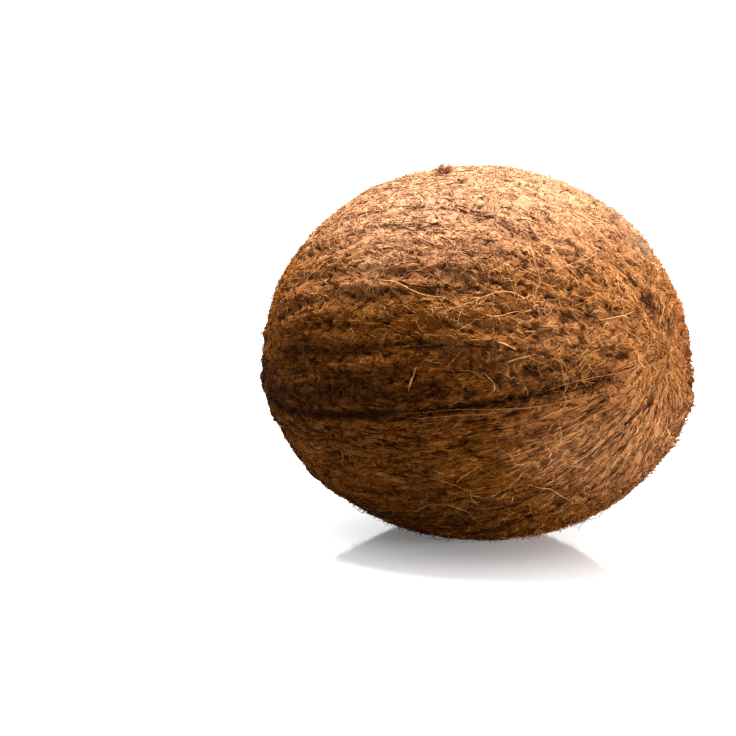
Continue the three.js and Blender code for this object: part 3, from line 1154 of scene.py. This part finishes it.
# Flat chips of husk that lie on the coat
chips = {
    "routes": [
        [(503, 363), (513, 360), (524, 357), (535, 355)],
        [(496, 342), (506, 345), (516, 350)],
        [(524, 331), (530, 331), (537, 331)],
        [(416, 366), (414, 376), (412, 386)],
    ],
    "steps": 6, "radius": 0.30, "rise": 0.4, "lift": 0.25, "tint": 0.69,
}


# A smooth line over the coat through a fibre's places, as directions from the nut's centre
def smoothRoute(pixels, steps):
    knots = np.array([underPixel(x, y) for x, y in pixels])
    knots = np.concatenate(([2 * knots[0] - knots[1]], knots, [2 * knots[-1] - knots[-2]]))
    route = []
    for u in np.linspace(0, len(pixels) - 1 - 1e-6, steps + 1):
        k, t = int(u) + 1, u % 1
        before, here, after, beyond = knots[k - 1:k + 3]
        route.append(0.5 * (2 * here + (after - before) * t
                            + (2 * before - 5 * here + 4 * after - beyond) * t ** 2
                            + (3 * here - before - 3 * after + beyond) * t ** 3))
    return unit(np.array(route))


# How a laid fibre is shaped along its length
laid = {"archPower": 0.8, "rootDepth": 0.9, "rootPower": 8, "taper": 0.6, "taperPower": 4}


def layFibres(name, plan):
    steps = plan["steps"]
    s = np.linspace(0, 1, steps + 1)
    path = np.stack([smoothRoute(pixels, steps) for pixels in plan["routes"]])
    arch = plan["rise"] * np.sin(math.pi * s ** laid["archPower"])
    lift = arch + plan["lift"] - laid["rootDepth"] * (1 - s) ** laid["rootPower"]
    share = 1 - (1 - plan.get("thinnest", 1)) * (goldenAngle * np.arange(len(path)) % 1)
    radii = plan["radius"] * (1 - laid["taper"] * s ** laid["taperPower"]) * share[:, None]
    points = coatPoints(path, np.broadcast_to(lift, radii.shape), plan["radius"])
    tint = np.full((len(path), 1), plan["tint"])
    mesh = sweepFibres(name, points, radii, tint, bleachingAndLight(path))
    return asPiece(addObject(name, mesh, fibreMaterial))


placedFibres = {
    "strayFibres": strayFibres,
    "seamFibres": seamFibres,
    "furrowShadeStrands": furrowShadeStrands,
    "huskChips": chips,
}
for name, plan in placedFibres.items():
    layFibres(name, plan)
print("placed fibres ready")

# Floor and lights: a glossy white sheet, a soft light overhead and a weaker one on the right
studio = {
    "floorSize": 6.0,
    "floorColour": (0.85, 0.85, 0.85),
    "floorRoughness": 0.08,
    "floorGlow": (0.16, 0.95),  # seen by the camera only: near the nut, and from glowReach outwards
    "glowReach": (18, 84),
    "floorBounce": (0.30, 0.30, 0.30),
    "roomLight": 0.12,
    "roomWhite": 1.9,  # as the camera and the glossy floor see it
    "lights": [  # name, millimetres to the right, towards the camera and up from the nut, size, power
        ("overhead", -20, -110, 610, 420, 21.0),
        ("rightFill", 590, 200, -30, 220, 12.5),
    ],
}


def addFloor():
    mesh = bpy.data.meshes.new("floor")
    shape = bmesh.new()
    bmesh.ops.create_grid(shape, x_segments=1, y_segments=1, size=studio["floorSize"])
    shape.to_mesh(mesh)
    shape.free()
    material, nodes, links, shader = newMaterial("paleFloor")
    seen = nodes.new("ShaderNodeLightPath").outputs["Is Camera Ray"]
    colour = addMix(nodes, links, seen, studio["floorBounce"], studio["floorColour"])
    links.new(colour, shader.inputs["Base Color"])
    shader.inputs["Roughness"].default_value = studio["floorRoughness"]
    shader.inputs["Emission Color"].default_value = (1, 1, 1, 1)
    away = nodes.new("ShaderNodeVectorMath")
    away.operation = "LENGTH"
    links.new(nodes.new("ShaderNodeTexCoord").outputs["Object"], away.inputs[0])
    glow = nodes.new("ShaderNodeMapRange")
    glow.interpolation_type = "SMOOTHSTEP"
    limits = [reach * metre for reach in studio["glowReach"]] + list(studio["floorGlow"])
    for socket, limit in zip(("From Min", "From Max", "To Min", "To Max"), limits):
        glow.inputs[socket].default_value = limit
    links.new(away.outputs["Value"], glow.inputs["Value"])
    emission = addMath(nodes, links, "MULTIPLY", seen, glow.outputs["Result"])
    links.new(emission, shader.inputs["Emission Strength"])
    floor = addObject("floor", mesh, material)


def addLights():
    middle = Vector(nut["centre"])
    towardsCamera = Vector((back.x, back.y, 0)).normalized()
    for name, aside, forward, rise, size, power in studio["lights"]:
        data = bpy.data.lights.new(name, "AREA")
        data.shape = "DISK"
        data.size = size * metre
        data.energy = power
        light = bpy.data.objects.new(name, data)
        light.location = (middle + right * aside + towardsCamera * forward + Vector((0, 0, rise))) * metre
        light.rotation_euler = (middle * metre - light.location).to_track_quat("-Z", "Y").to_euler()
        bpy.context.scene.collection.objects.link(light)


def addWorld():
    world = bpy.data.worlds.new("whiteRoom")
    world.use_nodes = True
    nodes, links = world.node_tree.nodes, world.node_tree.links
    strength = nodes.new("ShaderNodeMapRange")
    strength.inputs["To Min"].default_value = studio["roomWhite"]
    strength.inputs["To Max"].default_value = studio["roomLight"]
    links.new(nodes.new("ShaderNodeLightPath").outputs["Is Diffuse Ray"], strength.inputs["Value"])
    background = nodes["Background"]
    background.inputs["Color"].default_value = (1, 1, 1, 1)
    links.new(strength.outputs["Result"], background.inputs["Strength"])
    bpy.context.scene.world = world


addFloor()
addLights()
addWorld()
bpy.context.scene.view_settings.view_transform = "Standard"

bpy.data.objects.remove(fibreSection)
